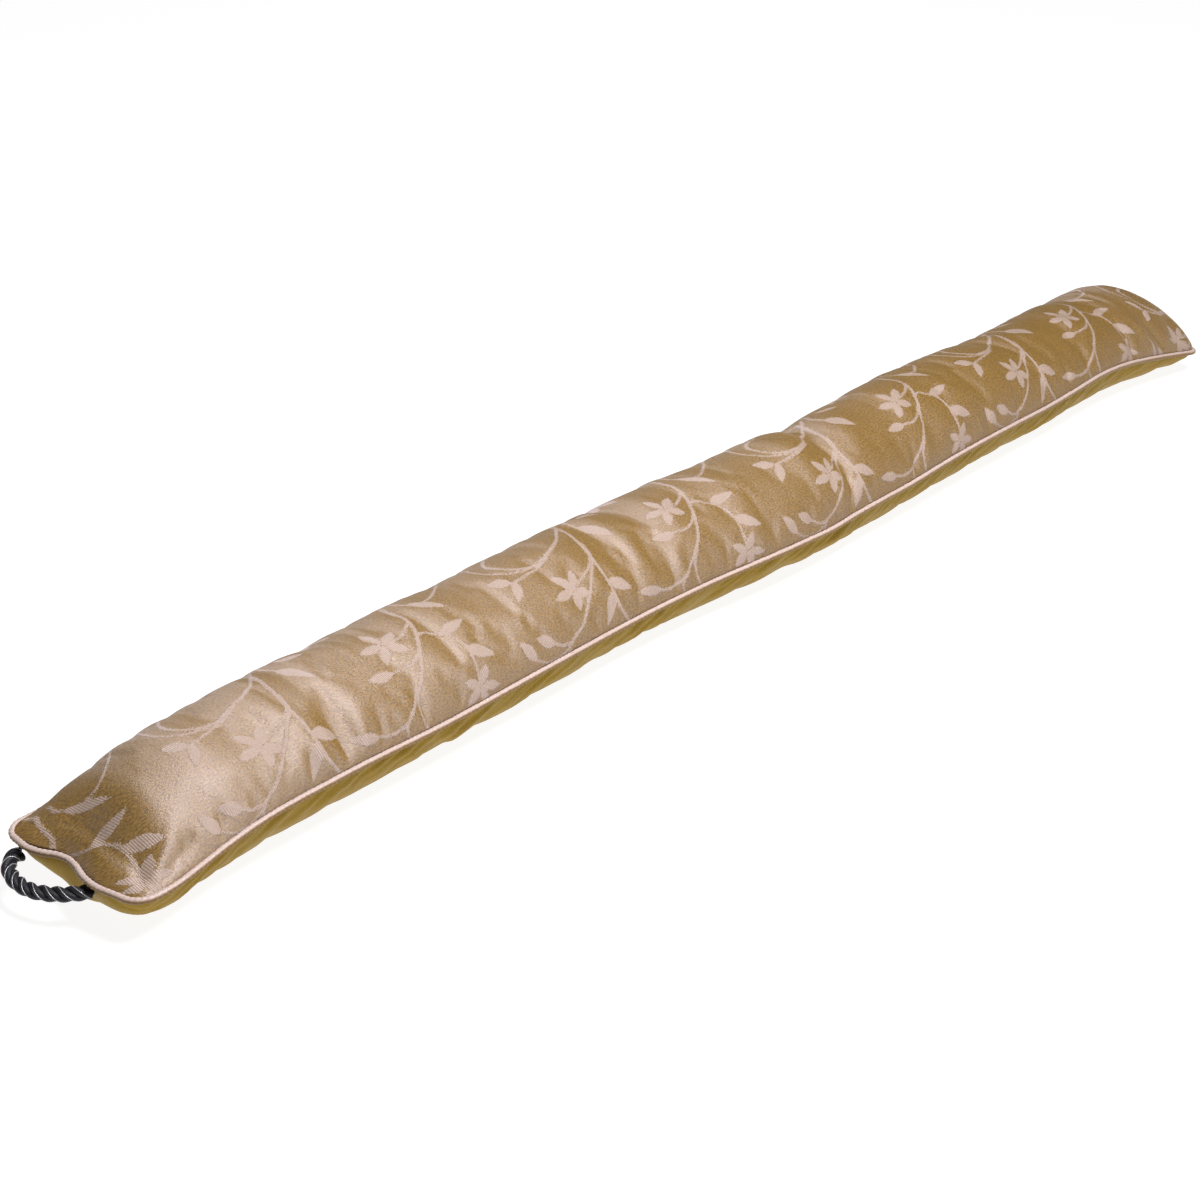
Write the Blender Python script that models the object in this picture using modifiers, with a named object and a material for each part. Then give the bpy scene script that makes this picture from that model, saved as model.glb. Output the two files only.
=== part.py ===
"""A long filled draught excluder with a figured top panel, a piped seam and a twisted rope handle."""

import math
from collections import namedtuple

import bpy
import numpy as np
from mathutils import Vector

# Driving sizes, in metres
HALF_LENGTH = 0.4520
PIPING_RADIUS = 0.00175
PANEL_THICKNESS = 0.0012
GAP = 0.0003
BELLY_BELOW_FLOOR = 0.0025
CORNER_RADIUS = 0.0090
HANDLE_END_SLOPE = 0.0750
HANDLE_END_POWER = 0.85
FAR_END_SLOPE = 0.0450
FAR_END_POWER = 0.38
END_SLOPE_UNDER = 0.0300
END_POWER_UNDER = 0.4
SLOPE_ROUNDING = 2.2
HANDLE_END_PINCH = 0.35
UNDER_FULLNESS = 0.98
UNDER_FULLNESS_LOST_AT_ENDS = 0.2
END_FADE = 0.0300
END_SEAM_REACH = 0.0500
END_BELLY = 0.0070
END_BELLY_ACROSS = 0.15
END_BELLY_SPREAD = 0.32
ROPE_RADIUS = 0.0035
ROPE_GROOVE = 0.13
ROPE_LAY = 0.0200
ROPE_STRANDS = 3

# Puts the origin under the middle of the filled cushion's box
PLACE = (-0.0058, -0.0011, 0.0)

# Resolution of the loft, the piping and the rope
EDGE_ANGLE = 0.095
CROSS_STEPS = 10
MIDDLE_STEPS = 74
END_COLUMNS = (0.0, 0.0009, 0.0033, 0.0066, 0.0105, 0.0155, 0.0220, 0.0300, 0.0400)
ROPE_STEPS = 50
ROPE_SIDES = 15

# The piping's centre line and the crown along the cushion, from the handle end: where the front and
# the back seam lie across it and how high, and how far the crown rises above them
Station = namedtuple("Station", "x front back front_seam back_seam rise")
STATIONS = (
    Station(-0.452, -0.0367, 0.0553, 0.0232, 0.0232, 0.0320),
    Station(-0.432, -0.0372, 0.0548, 0.0238, 0.0240, 0.0315),
    Station(-0.418, -0.0362, 0.0539, 0.0252, 0.0255, 0.0310),
    Station(-0.402, -0.0352, 0.0528, 0.0275, 0.0275, 0.0310),
    Station(-0.385, -0.0345, 0.0521, 0.0294, 0.0290, 0.0312),
    Station(-0.330, -0.0342, 0.0518, 0.0304, 0.0295, 0.0330),
    Station(-0.262, -0.0342, 0.0518, 0.0281, 0.0285, 0.0348),
    Station(-0.195, -0.0342, 0.0518, 0.0284, 0.0285, 0.0350),
    Station(-0.100, -0.0342, 0.0518, 0.0279, 0.0282, 0.0350),
    Station(-0.060, -0.0367, 0.0512, 0.0278, 0.0280, 0.0348),
    Station(-0.025, -0.0407, 0.0496, 0.0278, 0.0280, 0.0350),
    Station(0.010, -0.0437, 0.0468, 0.0274, 0.0280, 0.0360),
    Station(0.040, -0.0442, 0.0444, 0.0263, 0.0275, 0.0382),
    Station(0.060, -0.0442, 0.0430, 0.0271, 0.0275, 0.0362),
    Station(0.085, -0.0442, 0.0418, 0.0273, 0.0275, 0.0340),
    Station(0.110, -0.0442, 0.0418, 0.0272, 0.0278, 0.0356),
    Station(0.160, -0.0442, 0.0418, 0.0289, 0.0285, 0.0376),
    Station(0.215, -0.0442, 0.0418, 0.0291, 0.0288, 0.0366),
    Station(0.245, -0.0442, 0.0418, 0.0286, 0.0286, 0.0346),
    Station(0.273, -0.0442, 0.0418, 0.0282, 0.0284, 0.0326),
    Station(0.303, -0.0442, 0.0418, 0.0290, 0.0285, 0.0304),
    Station(0.345, -0.0442, 0.0418, 0.0300, 0.0288, 0.0312),
    Station(0.375, -0.0447, 0.0418, 0.0274, 0.0285, 0.0314),
    Station(0.400, -0.0467, 0.0418, 0.0240, 0.0285, 0.0320),
    Station(0.425, -0.0497, 0.0420, 0.0200, 0.0280, 0.0330),
    Station(0.452, -0.0545, 0.0430, 0.0152, 0.0270, 0.0330),
)

# Soft rolls and creases of the top panel; across is 0 at the front seam and 1 at the back seam,
# and lean is how far the fold's back end lies further along the cushion
Fold = namedtuple("Fold", "x lean width height middle spread")
FOLDS = (
    Fold(-0.402, -0.010, 0.014, 0.0012, 0.50, 0.40),
    Fold(-0.374, -0.012, 0.012, -0.0010, 0.45, 0.30),
    Fold(-0.342, -0.030, 0.012, 0.0014, 0.30, 0.25),
    Fold(-0.322, -0.012, 0.009, -0.0024, 0.16, 0.18),
    Fold(-0.308, -0.008, 0.010, 0.0014, 0.18, 0.20),
    Fold(-0.276, 0.004, 0.012, -0.0010, 0.20, 0.22),
    Fold(-0.246, 0.000, 0.016, 0.0009, 0.45, 0.35),
    Fold(-0.205, 0.008, 0.014, -0.0009, 0.55, 0.40),
    Fold(-0.148, 0.010, 0.016, 0.0009, 0.40, 0.30),
    Fold(-0.112, 0.006, 0.012, -0.0010, 0.30, 0.30),
    Fold(-0.084, 0.008, 0.010, -0.0016, 0.40, 0.35),
    Fold(-0.066, 0.010, 0.010, 0.0012, 0.30, 0.28),
    Fold(-0.036, 0.000, 0.015, 0.0016, 0.78, 0.22),
    Fold(-0.016, 0.014, 0.011, 0.0012, 0.30, 0.30),
    Fold(0.044, 0.032, 0.015, 0.0022, 0.40, 0.30),
    Fold(0.071, 0.034, 0.011, -0.0030, 0.45, 0.40),
    Fold(0.092, 0.030, 0.012, 0.0016, 0.40, 0.35),
    Fold(0.122, 0.020, 0.011, -0.0014, 0.25, 0.25),
    Fold(0.142, 0.016, 0.012, 0.0012, 0.30, 0.30),
    Fold(0.190, 0.012, 0.011, 0.0012, 0.22, 0.22),
    Fold(0.206, 0.014, 0.010, -0.0014, 0.35, 0.35),
    Fold(0.232, 0.014, 0.010, 0.0013, 0.25, 0.25),
    Fold(0.268, 0.016, 0.012, -0.0014, 0.45, 0.40),
    Fold(0.300, 0.012, 0.013, 0.0010, 0.40, 0.35),
    Fold(0.328, 0.010, 0.010, -0.0012, 0.35, 0.35),
    Fold(0.372, 0.010, 0.012, -0.0010, 0.35, 0.35),
)

# How far the end seam lies outside its straight line, drawn in between the handle's ends
SeamPoint = namedtuple("SeamPoint", "across out")
HANDLE_END_SEAM = (
    SeamPoint(-1.00, 0.0),
    SeamPoint(-0.50, 0.0019),
    SeamPoint(-0.30, 0.0006),
    SeamPoint(-0.08, -0.0020),
    SeamPoint(0.15, -0.0034),
    SeamPoint(0.35, -0.0022),
    SeamPoint(0.55, 0.0010),
    SeamPoint(0.76, 0.0026),
    SeamPoint(1.00, 0.0018),
)
FAR_END_SEAM = (
    SeamPoint(-1.00, 0.0065),
    SeamPoint(-0.60, 0.0085),
    SeamPoint(-0.15, 0.0110),
    SeamPoint(0.20, 0.0128),
    SeamPoint(0.65, 0.0138),
    SeamPoint(1.00, 0.0128),
)

# The handle's centre line, from its back end under the piping round to its front end
HANDLE_ROUTE = (
    (-0.4540, 0.0416, 0.0175),
    (-0.4569, 0.0426, 0.0170),
    (-0.4598, 0.0422, 0.0162),
    (-0.4623, 0.0400, 0.0154),
    (-0.4644, 0.0364, 0.0149),
    (-0.4662, 0.0314, 0.0146),
    (-0.4670, 0.0252, 0.0145),
    (-0.4666, 0.0188, 0.0146),
    (-0.4648, 0.0124, 0.0150),
    (-0.4620, 0.0064, 0.0156),
    (-0.4589, 0.0012, 0.0164),
    (-0.4557, -0.0028, 0.0172),
    (-0.4524, -0.0058, 0.0176),
)


def smooth_values(positions, xs, values):
    """Values of a smooth curve through the table's points, at each position."""
    xs = np.asarray(xs, float)
    values = np.asarray(values, float)
    slopes = np.gradient(values, xs)
    positions = np.clip(positions, xs[0], xs[-1])
    row = np.clip(np.searchsorted(xs, positions, side="right") - 1, 0, len(xs) - 2)
    step = xs[row + 1] - xs[row]
    t = (positions - xs[row]) / step
    start = (1 + 2 * t) * (1 - t) ** 2 * values[row] + t * (1 - t) ** 2 * step * slopes[row]
    end = t**2 * (3 - 2 * t) * values[row + 1] - t**2 * (1 - t) * step * slopes[row + 1]
    return start + end


def along(x, column):
    """A column of the stations at each x."""
    return smooth_values(x, [s.x for s in STATIONS], [getattr(s, column) for s in STATIONS])


def end_slope(distance, reach, power):
    """Rises from 0 at the end seam to 1 where the cushion is full."""
    left = 1 - np.clip(distance / reach, 0, 1)
    return (1 - left**SLOPE_ROUNDING) ** power


def top_slope(x):
    """The crown's share that is left at each x: a long slope at the handle, a blunt one at the far end."""
    distance = HALF_LENGTH - abs(x)
    handle = end_slope(distance, HANDLE_END_SLOPE, HANDLE_END_POWER)
    return np.where(x < 0, handle, end_slope(distance, FAR_END_SLOPE, FAR_END_POWER))


def columns():
    """The loft's places along the cushion, closer together at both ends."""
    ends = np.array(END_COLUMNS)
    inner = HALF_LENGTH - END_COLUMNS[-1]
    middle = np.linspace(-inner, inner, MIDDLE_STEPS + 1)[1:-1]
    return np.concatenate([-HALF_LENGTH + ends, middle, (HALF_LENGTH - ends)[::-1]])


def grid_places():
    """Each grid point's place along the cushion, and its angle from the front seam over to the back seam."""
    inner = np.linspace(EDGE_ANGLE, math.pi - EDGE_ANGLE, CROSS_STEPS - 1)
    return np.meshgrid(columns(), [0, *inner, math.pi], indexing="ij")


def plan(x, angle):
    """The grid at the seam's height: a rectangle with round corners and uneven end seams."""
    distance = HALF_LENGTH - abs(x)
    corner = np.clip(CORNER_RADIUS - distance, 0, None)
    rounding = CORNER_RADIUS - np.sqrt(CORNER_RADIUS**2 - corner**2)
    front, back = along(x, "front"), along(x, "back")
    reach = (back - front) / 2 - PIPING_RADIUS - GAP - rounding
    across = -np.cos(angle)
    handle_end = smooth_values(across, *zip(*HANDLE_END_SEAM))
    far_end = smooth_values(across, *zip(*FAR_END_SEAM))
    out = np.where(x < 0, -handle_end, far_end)
    fade = np.clip(1 - distance / END_SEAM_REACH, 0, 1) ** 2
    inset = np.sign(x) * (PIPING_RADIUS + GAP) * fade
    share = (1 + across) / 2
    seam = along(x, "front_seam") * (1 - share) + along(x, "back_seam") * share
    return x + out * fade - inset, (front + back) / 2 + across * reach, seam


def folds_at(x, angle):
    """How far the folds lift the top panel, at each place of the grid."""
    across = angle / math.pi
    lift = np.zeros_like(x)
    for fold in FOLDS:
        offset = (x - fold.x - fold.lean * (across - fold.middle)) / fold.width
        place = (across - fold.middle) / fold.spread
        lift += fold.height * np.exp(-(offset**2) - place**2)
    return lift * np.sin(angle)


def top_surface():
    """The grid of the upper side, with its folds."""
    x, angle = grid_places()
    pinch = 1 + HANDLE_END_PINCH * np.exp(-(HALF_LENGTH + x) / END_FADE)
    rise = (along(x, "rise") - PANEL_THICKNESS - GAP) * top_slope(x)
    plan_x, plan_y, seam = plan(x, angle)
    height = rise * np.sin(angle) ** pinch
    fold = folds_at(x, angle) * top_slope(x)
    plan_y = plan_y - fold * np.cos(angle)
    return np.stack([plan_x, plan_y, seam + height + fold * np.sin(angle)], axis=-1)


def off_surface(grid, distance):
    """The grid moved off its surface by this distance."""
    lengthwise = np.gradient(grid, axis=0)
    crosswise = np.gradient(grid, axis=1)
    normal = np.cross(lengthwise, crosswise)
    return grid + normal / np.linalg.norm(normal, axis=-1)[..., None] * distance


def under_surface():
    """The grid of the under side, flat where it lies on the floor."""
    x, angle = grid_places()
    distance = HALF_LENGTH - abs(x)
    plan_x, plan_y, seam = plan(x, angle)
    drop = (seam + BELLY_BELOW_FLOOR) * end_slope(distance, END_SLOPE_UNDER, END_POWER_UNDER)
    fullness = UNDER_FULLNESS - UNDER_FULLNESS_LOST_AT_ENDS * np.exp(-distance / END_FADE)
    height = seam - drop * np.sin(angle) ** fullness
    middle = np.exp(-(((-np.cos(angle) - END_BELLY_ACROSS) / END_BELLY_SPREAD) ** 2))
    swell = END_BELLY * middle * np.sin(math.pi * np.clip(distance / END_SLOPE_UNDER, 0, 1))
    plan_x = plan_x - np.where(x < 0, swell, 0)
    return np.stack([plan_x, plan_y, np.clip(height, 0, None)], axis=-1)


def material(name, colour, roughness):
    """A cloth material in one colour."""
    made = bpy.data.materials.new(name)
    made.use_nodes = True
    shader = made.node_tree.nodes["Principled BSDF"]
    shader.inputs["Base Color"].default_value = (*colour, 1)
    shader.inputs["Roughness"].default_value = roughness
    shader.inputs["Metallic"].default_value = 0
    return made


def placed(name, data, collection, finish):
    """An object of this data, in the collection and with its material."""
    obj = bpy.data.objects.new(name, data)
    obj.data.materials.append(finish)
    collection.objects.link(obj)
    return obj


def grid_faces(rows, steps, first, turned):
    """Quads between neighbouring points of a grid whose points are numbered by first(row, step)."""
    faces = []
    for row in range(rows - 1):
        for step in range(steps - 1):
            face = (
                first(row, step),
                first(row + 1, step),
                first(row + 1, step + 1),
                first(row, step + 1),
            )
            faces.append(face[::-1] if turned else face)
    return faces


def make_cushion(collection):
    """The filled body: both sides of the loft, joined along the seam."""
    top = top_surface()
    under = under_surface()
    rows, steps = top.shape[:2]
    points = [tuple(p) for p in top.reshape(-1, 3)]
    inner = {}
    for row in range(1, rows - 1):
        for step in range(1, steps - 1):
            inner[row, step] = len(points)
            points.append(tuple(under[row, step]))
    faces = grid_faces(rows, steps, lambda r, s: r * steps + s, False)
    faces += grid_faces(rows, steps, lambda r, s: inner.get((r, s), r * steps + s), True)
    mesh = bpy.data.meshes.new("cushion")
    mesh.from_pydata(points, [], faces)
    mesh.shade_smooth()
    return placed("cushion", mesh, collection, material("plain_cloth", (0.32, 0.21, 0.07), 0.6))


def make_top_panel(collection):
    """The figured cloth over the crown: an open sheet just off the cushion, thickened outward."""
    grid = off_surface(top_surface(), GAP)
    above_piping = plan(*grid_places())[2] + PIPING_RADIUS + GAP
    grid[..., 2] = np.maximum(grid[..., 2], above_piping)
    grid = grid[1:-1, 1:-1]
    rows, steps = grid.shape[:2]
    mesh = bpy.data.meshes.new("top_panel")
    faces = grid_faces(rows, steps, lambda r, s: r * steps + s, False)
    mesh.from_pydata([tuple(p) for p in grid.reshape(-1, 3)], [], faces)
    mesh.shade_smooth()
    panel = placed("top_panel", mesh, collection, material("figured_cloth", (0.43, 0.29, 0.16), 0.4))
    solid = panel.modifiers.new("thickness", "SOLIDIFY")
    solid.thickness = PANEL_THICKNESS
    solid.offset = 1
    return panel


def seam_loop():
    """The piping's centre line, once round the cushion's edge and a little outside it."""
    top = top_surface()
    front = top[:, 0]
    far = top[-1, 1:]
    back = top[-2::-1, -1]
    near = top[0, -2:0:-1]
    loop = np.concatenate([front, far, back, near])
    forward = np.roll(loop, -1, axis=0) - np.roll(loop, 1, axis=0)
    outward = np.stack([forward[:, 1], -forward[:, 0], 0 * forward[:, 0]], axis=-1)
    outward /= np.linalg.norm(outward, axis=1)[:, None]
    return loop + outward * (PIPING_RADIUS + GAP)


def poly_curve(name, points, cyclic):
    """A curve object's data: one straight-run spline through the points."""
    curve = bpy.data.curves.new(name, "CURVE")
    curve.dimensions = "3D"
    spline = curve.splines.new("POLY")
    spline.points.add(len(points) - 1)
    for knot, point in zip(spline.points, points):
        knot.co = (*point, 1)
    spline.use_cyclic_u = cyclic
    return curve


def make_piping(collection):
    """The covered cord in the seam, all round."""
    curve = poly_curve("piping", seam_loop(), True)
    curve.bevel_depth = PIPING_RADIUS
    curve.bevel_resolution = 2
    return placed("piping", curve, collection, material("piping_cloth", (0.72, 0.55, 0.47), 0.45))


def smooth_route(route, steps):
    """Even steps along a smooth curve through the route's points."""
    route = np.array(route)
    reach = np.concatenate([[0], np.cumsum(np.linalg.norm(np.diff(route, axis=0), axis=1))])
    places = np.linspace(0, reach[-1], steps + 1)
    return np.stack([smooth_values(places, reach, route[:, k]) for k in range(3)], axis=-1)


def make_rope_profile(guides):
    """The rope's cross-section: its strands side by side round the middle."""
    turn = -np.arange(ROPE_SIDES) * 2 * math.pi / ROPE_SIDES
    groove = ROPE_GROOVE * (0.5 - 0.5 * np.cos(ROPE_STRANDS * turn))
    reach = ROPE_RADIUS * (1 - groove)
    points = np.stack([reach * np.cos(turn), reach * np.sin(turn), 0 * turn], axis=-1)
    profile = bpy.data.objects.new("rope_profile", poly_curve("rope_profile", points, True))
    profile.data.dimensions = "2D"
    profile.hide_render = True
    profile.display_type = "WIRE"
    guides.objects.link(profile)
    return profile


def make_handle(collection, guides):
    """The twisted rope handle: the profile turned as it follows the handle's route."""
    centre = smooth_route(HANDLE_ROUTE, ROPE_STEPS)
    curve = poly_curve("rope_handle", centre, False)
    length = np.linalg.norm(np.diff(centre, axis=0), axis=1).sum()
    for number, knot in enumerate(curve.splines[0].points):
        knot.tilt = -2 * math.pi * number / ROPE_STEPS * length / ROPE_LAY
    curve.bevel_mode = "OBJECT"
    curve.bevel_object = make_rope_profile(guides)
    curve.use_fill_caps = True
    return placed("rope_handle", curve, collection, material("rope", (0.012, 0.011, 0.012), 0.5))


def main():
    for obj in list(bpy.data.objects):
        bpy.data.objects.remove(obj)
    collection = bpy.data.collections.new("draught_excluder")
    guides = bpy.data.collections.new("guides")
    for made in (collection, guides):
        bpy.context.scene.collection.children.link(made)
    make_cushion(collection)
    make_top_panel(collection)
    make_piping(collection)
    make_handle(collection, guides)
    base = bpy.data.objects.new("base", None)
    base.location = Vector(PLACE)
    collection.objects.link(base)
    for obj in collection.objects:
        if obj is not base:
            obj.parent = base


main()
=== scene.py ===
"""The looks of the draught excluder: cushion, figured top panel, piping and rope handle on the frame."""

import math
from collections import namedtuple

import bpy
import numpy as np
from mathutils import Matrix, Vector


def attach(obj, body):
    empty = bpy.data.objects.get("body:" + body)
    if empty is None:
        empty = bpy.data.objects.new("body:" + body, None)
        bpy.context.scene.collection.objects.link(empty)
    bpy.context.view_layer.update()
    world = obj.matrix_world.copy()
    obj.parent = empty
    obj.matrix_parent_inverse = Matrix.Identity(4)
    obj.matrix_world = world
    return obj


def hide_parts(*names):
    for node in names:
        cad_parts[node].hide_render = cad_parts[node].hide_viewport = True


# Where the origin lies against the tables below, as in the solids
PLACE = np.array([-0.0058, -0.0011, 0.0])

# Camera of the photograph
CAMERA_AT = (-0.9231, -0.6974, 0.5690)
CAMERA_LOOKS_ALONG = (0.6735, 0.5823, -0.4554)
CAMERA_LENS = 67.5
CAMERA_SENSOR = 36.0

# The studio: a weak white surround, a key light nearly overhead, a rim light behind and a white floor
WHITE = (1, 1, 1, 1)
SURROUND_STRENGTH = 0.10
Light = namedtuple("Light", "name direction distance size power")
LIGHTS = (
    Light("key", (-0.08, -0.36, 0.93), 1.3, 0.5, 31),
    Light("rim", (0.50, 0.65, 0.55), 2.4, 1.2, 4),
)
FLOOR_REACH = 12.0
FLOOR_GREY = (0.20, 0.20, 0.20, 1)
FLOOR_GLOW = 0.90

# The cushion's sizes, in metres
HALF_LENGTH = 0.4520
CORNER_RADIUS = 0.0090
BELLY_BELOW_FLOOR = 0.0025
GAP = 0.0003

# How far in from the end seams the crown and the belly reach their full size, in metres, and how full
# their slopes are, as powers
HANDLE_END_SLOPE = 0.0750
HANDLE_END_POWER = 0.85
FAR_END_SLOPE = 0.0450
FAR_END_POWER = 0.38
END_SLOPE_UNDER = 0.0300
END_POWER_UNDER = 0.4
SLOPE_ROUNDING = 2.2
HANDLE_END_PINCH = 0.35
UNDER_FULLNESS = 0.98
UNDER_FULLNESS_LOST_AT_ENDS = 0.2
END_FADE = 0.0300

# How far in the end seams' own curves reach, and the swell below the handle end's seam
END_SEAM_REACH = 0.0500
END_BELLY = 0.0070
END_BELLY_ACROSS = 0.15
END_BELLY_SPREAD = 0.32

# The figured panel, and how its cloth lies: shifted at the crown, skewed near the handle, and gathered
# at the far end
PANEL_THICKNESS = 0.0010
PANEL_LIFT = 0.0004
CLOTH_CROWN_SHIFT = 0.004
CLOTH_SKEW = ((-0.436, 0.0), (-0.37, 0.16), (-0.30, 0.16), (-0.24, 0.06))
CLOTH_GATHER_FROM = 0.385
CLOTH_GATHER_OVER = 0.055
CLOTH_GATHERED = 0.022

# The piping, whose cover is pulled into slanting ridges and is a little uneven along its length
PIPING_RADIUS = 0.00175
PIPING_STEP = 0.0005
PIPING_SIDES = 14
PIPING_RIDGES = 0.0026
PIPING_WAVES = (0.0171, 0.0067)
PIPING_BODY_SHARE = 0.92
PIPING_RIDGE_SHARE = 0.06
PIPING_WAVE_SHARE = 0.02

# The rope handle
ROPE_RADIUS = 0.0035
ROPE_LAY = 0.0200
ROPE_STRANDS = 3
ROPE_STEP = 0.0004
STRAND_RADIUS = 0.53 * ROPE_RADIUS
STRAND_SIDES = 14
THREAD_RADIUS = 0.00022
THREAD_SIDES = 6
THREAD_SUNK = 0.00005

# Resolution of the cloth grid that is simulated; the shown grid is four times as fine
END_COLUMNS = (0.0, 0.0011, 0.0034, 0.0070, 0.0115)
COLUMN_STEP = 0.0042
GRID_STEPS = 24
SHOWN_DOUBLINGS = 2

# The cloth simulation: how much larger than the sewn shape the cloth is cut, and how it is pushed
CLOTH_LARGER = 0.06
CLOTH_QUALITY = 5
CLOTH_PRESSURE = 4.0
CLOTH_BENDING = 0.2
CLOTH_DAMPING = 5.0
CLOTH_FRAMES = 20
CLOTH_MOST_MOVE = 0.008

# The seeded waves that it starts from: the least and the most of each one's length, phase and lean
UNEVEN_SEED = 3
UNEVEN_WAVES = 60
UNEVEN_HEIGHT = 0.00006
UNEVEN_LEAST = (0.012, 0.0, -50.0)
UNEVEN_MOST = (0.060, 7.0, 50.0)

# What is kept of its result: only waves shorter than this, along in metres and across in grid steps,
# which fade out in so many grid steps at the seams, and a share of their height
BROAD_ALONG = 0.030
BROAD_ACROSS = 5
FADE_AT_SIDES = 3
FADE_AT_ENDS = 4
TOP_WRINKLES = 0.26
UNDER_WRINKLES = 0.30

# The seeded creases of the plain cloth: the least and the most of each one's shift along the cushion,
# turn in degrees, length and depth
UNDER_CREASE_SEED_FRONT = 5
UNDER_CREASE_SEED_BACK = 6
UNDER_CREASES_REACH = 0.430
UNDER_CREASE_STEP = 0.0115
UNDER_CREASE_START = 0.001
UNDER_CREASE_WIDTH = 0.0019
UNDER_CREASE_LEAST = (-0.003, 142, 0.030, 0.0005)
UNDER_CREASE_MOST = (0.003, 156, 0.052, 0.0013)

# The piping's centre line and the crown along the cushion, as in the solids
Station = namedtuple("Station", "x front back front_seam back_seam rise")
STATIONS = (
    Station(-0.452, -0.0367, 0.0553, 0.0232, 0.0232, 0.0320),
    Station(-0.432, -0.0372, 0.0548, 0.0238, 0.0240, 0.0315),
    Station(-0.418, -0.0362, 0.0539, 0.0252, 0.0255, 0.0310),
    Station(-0.402, -0.0352, 0.0528, 0.0275, 0.0275, 0.0310),
    Station(-0.385, -0.0345, 0.0521, 0.0294, 0.0290, 0.0312),
    Station(-0.330, -0.0342, 0.0518, 0.0304, 0.0295, 0.0330),
    Station(-0.262, -0.0342, 0.0518, 0.0281, 0.0285, 0.0348),
    Station(-0.195, -0.0342, 0.0518, 0.0284, 0.0285, 0.0350),
    Station(-0.100, -0.0342, 0.0518, 0.0279, 0.0282, 0.0350),
    Station(-0.060, -0.0367, 0.0512, 0.0278, 0.0280, 0.0348),
    Station(-0.025, -0.0407, 0.0496, 0.0278, 0.0280, 0.0350),
    Station(0.010, -0.0437, 0.0468, 0.0274, 0.0280, 0.0360),
    Station(0.040, -0.0442, 0.0444, 0.0263, 0.0275, 0.0382),
    Station(0.060, -0.0442, 0.0430, 0.0271, 0.0275, 0.0362),
    Station(0.085, -0.0442, 0.0418, 0.0273, 0.0275, 0.0340),
    Station(0.110, -0.0442, 0.0418, 0.0272, 0.0278, 0.0356),
    Station(0.160, -0.0442, 0.0418, 0.0289, 0.0285, 0.0376),
    Station(0.215, -0.0442, 0.0418, 0.0291, 0.0288, 0.0366),
    Station(0.245, -0.0442, 0.0418, 0.0286, 0.0286, 0.0346),
    Station(0.273, -0.0442, 0.0418, 0.0282, 0.0284, 0.0326),
    Station(0.303, -0.0442, 0.0418, 0.0290, 0.0285, 0.0304),
    Station(0.345, -0.0442, 0.0418, 0.0300, 0.0288, 0.0312),
    Station(0.375, -0.0447, 0.0418, 0.0274, 0.0285, 0.0314),
    Station(0.400, -0.0467, 0.0418, 0.0240, 0.0285, 0.0320),
    Station(0.425, -0.0497, 0.0420, 0.0200, 0.0280, 0.0330),
    Station(0.452, -0.0545, 0.0430, 0.0152, 0.0270, 0.0330),
)

# How far the end seam lies outside its straight line
SeamPoint = namedtuple("SeamPoint", "across out")
HANDLE_END_SEAM = (
    SeamPoint(-1.00, 0.0),
    SeamPoint(-0.50, 0.0019),
    SeamPoint(-0.30, 0.0006),
    SeamPoint(-0.08, -0.0020),
    SeamPoint(0.15, -0.0034),
    SeamPoint(0.35, -0.0022),
    SeamPoint(0.55, 0.0010),
    SeamPoint(0.76, 0.0026),
    SeamPoint(1.00, 0.0018),
)
FAR_END_SEAM = (
    SeamPoint(-1.00, 0.0065),
    SeamPoint(-0.60, 0.0085),
    SeamPoint(-0.15, 0.0110),
    SeamPoint(0.20, 0.0128),
    SeamPoint(0.65, 0.0138),
    SeamPoint(1.00, 0.0128),
)

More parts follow.
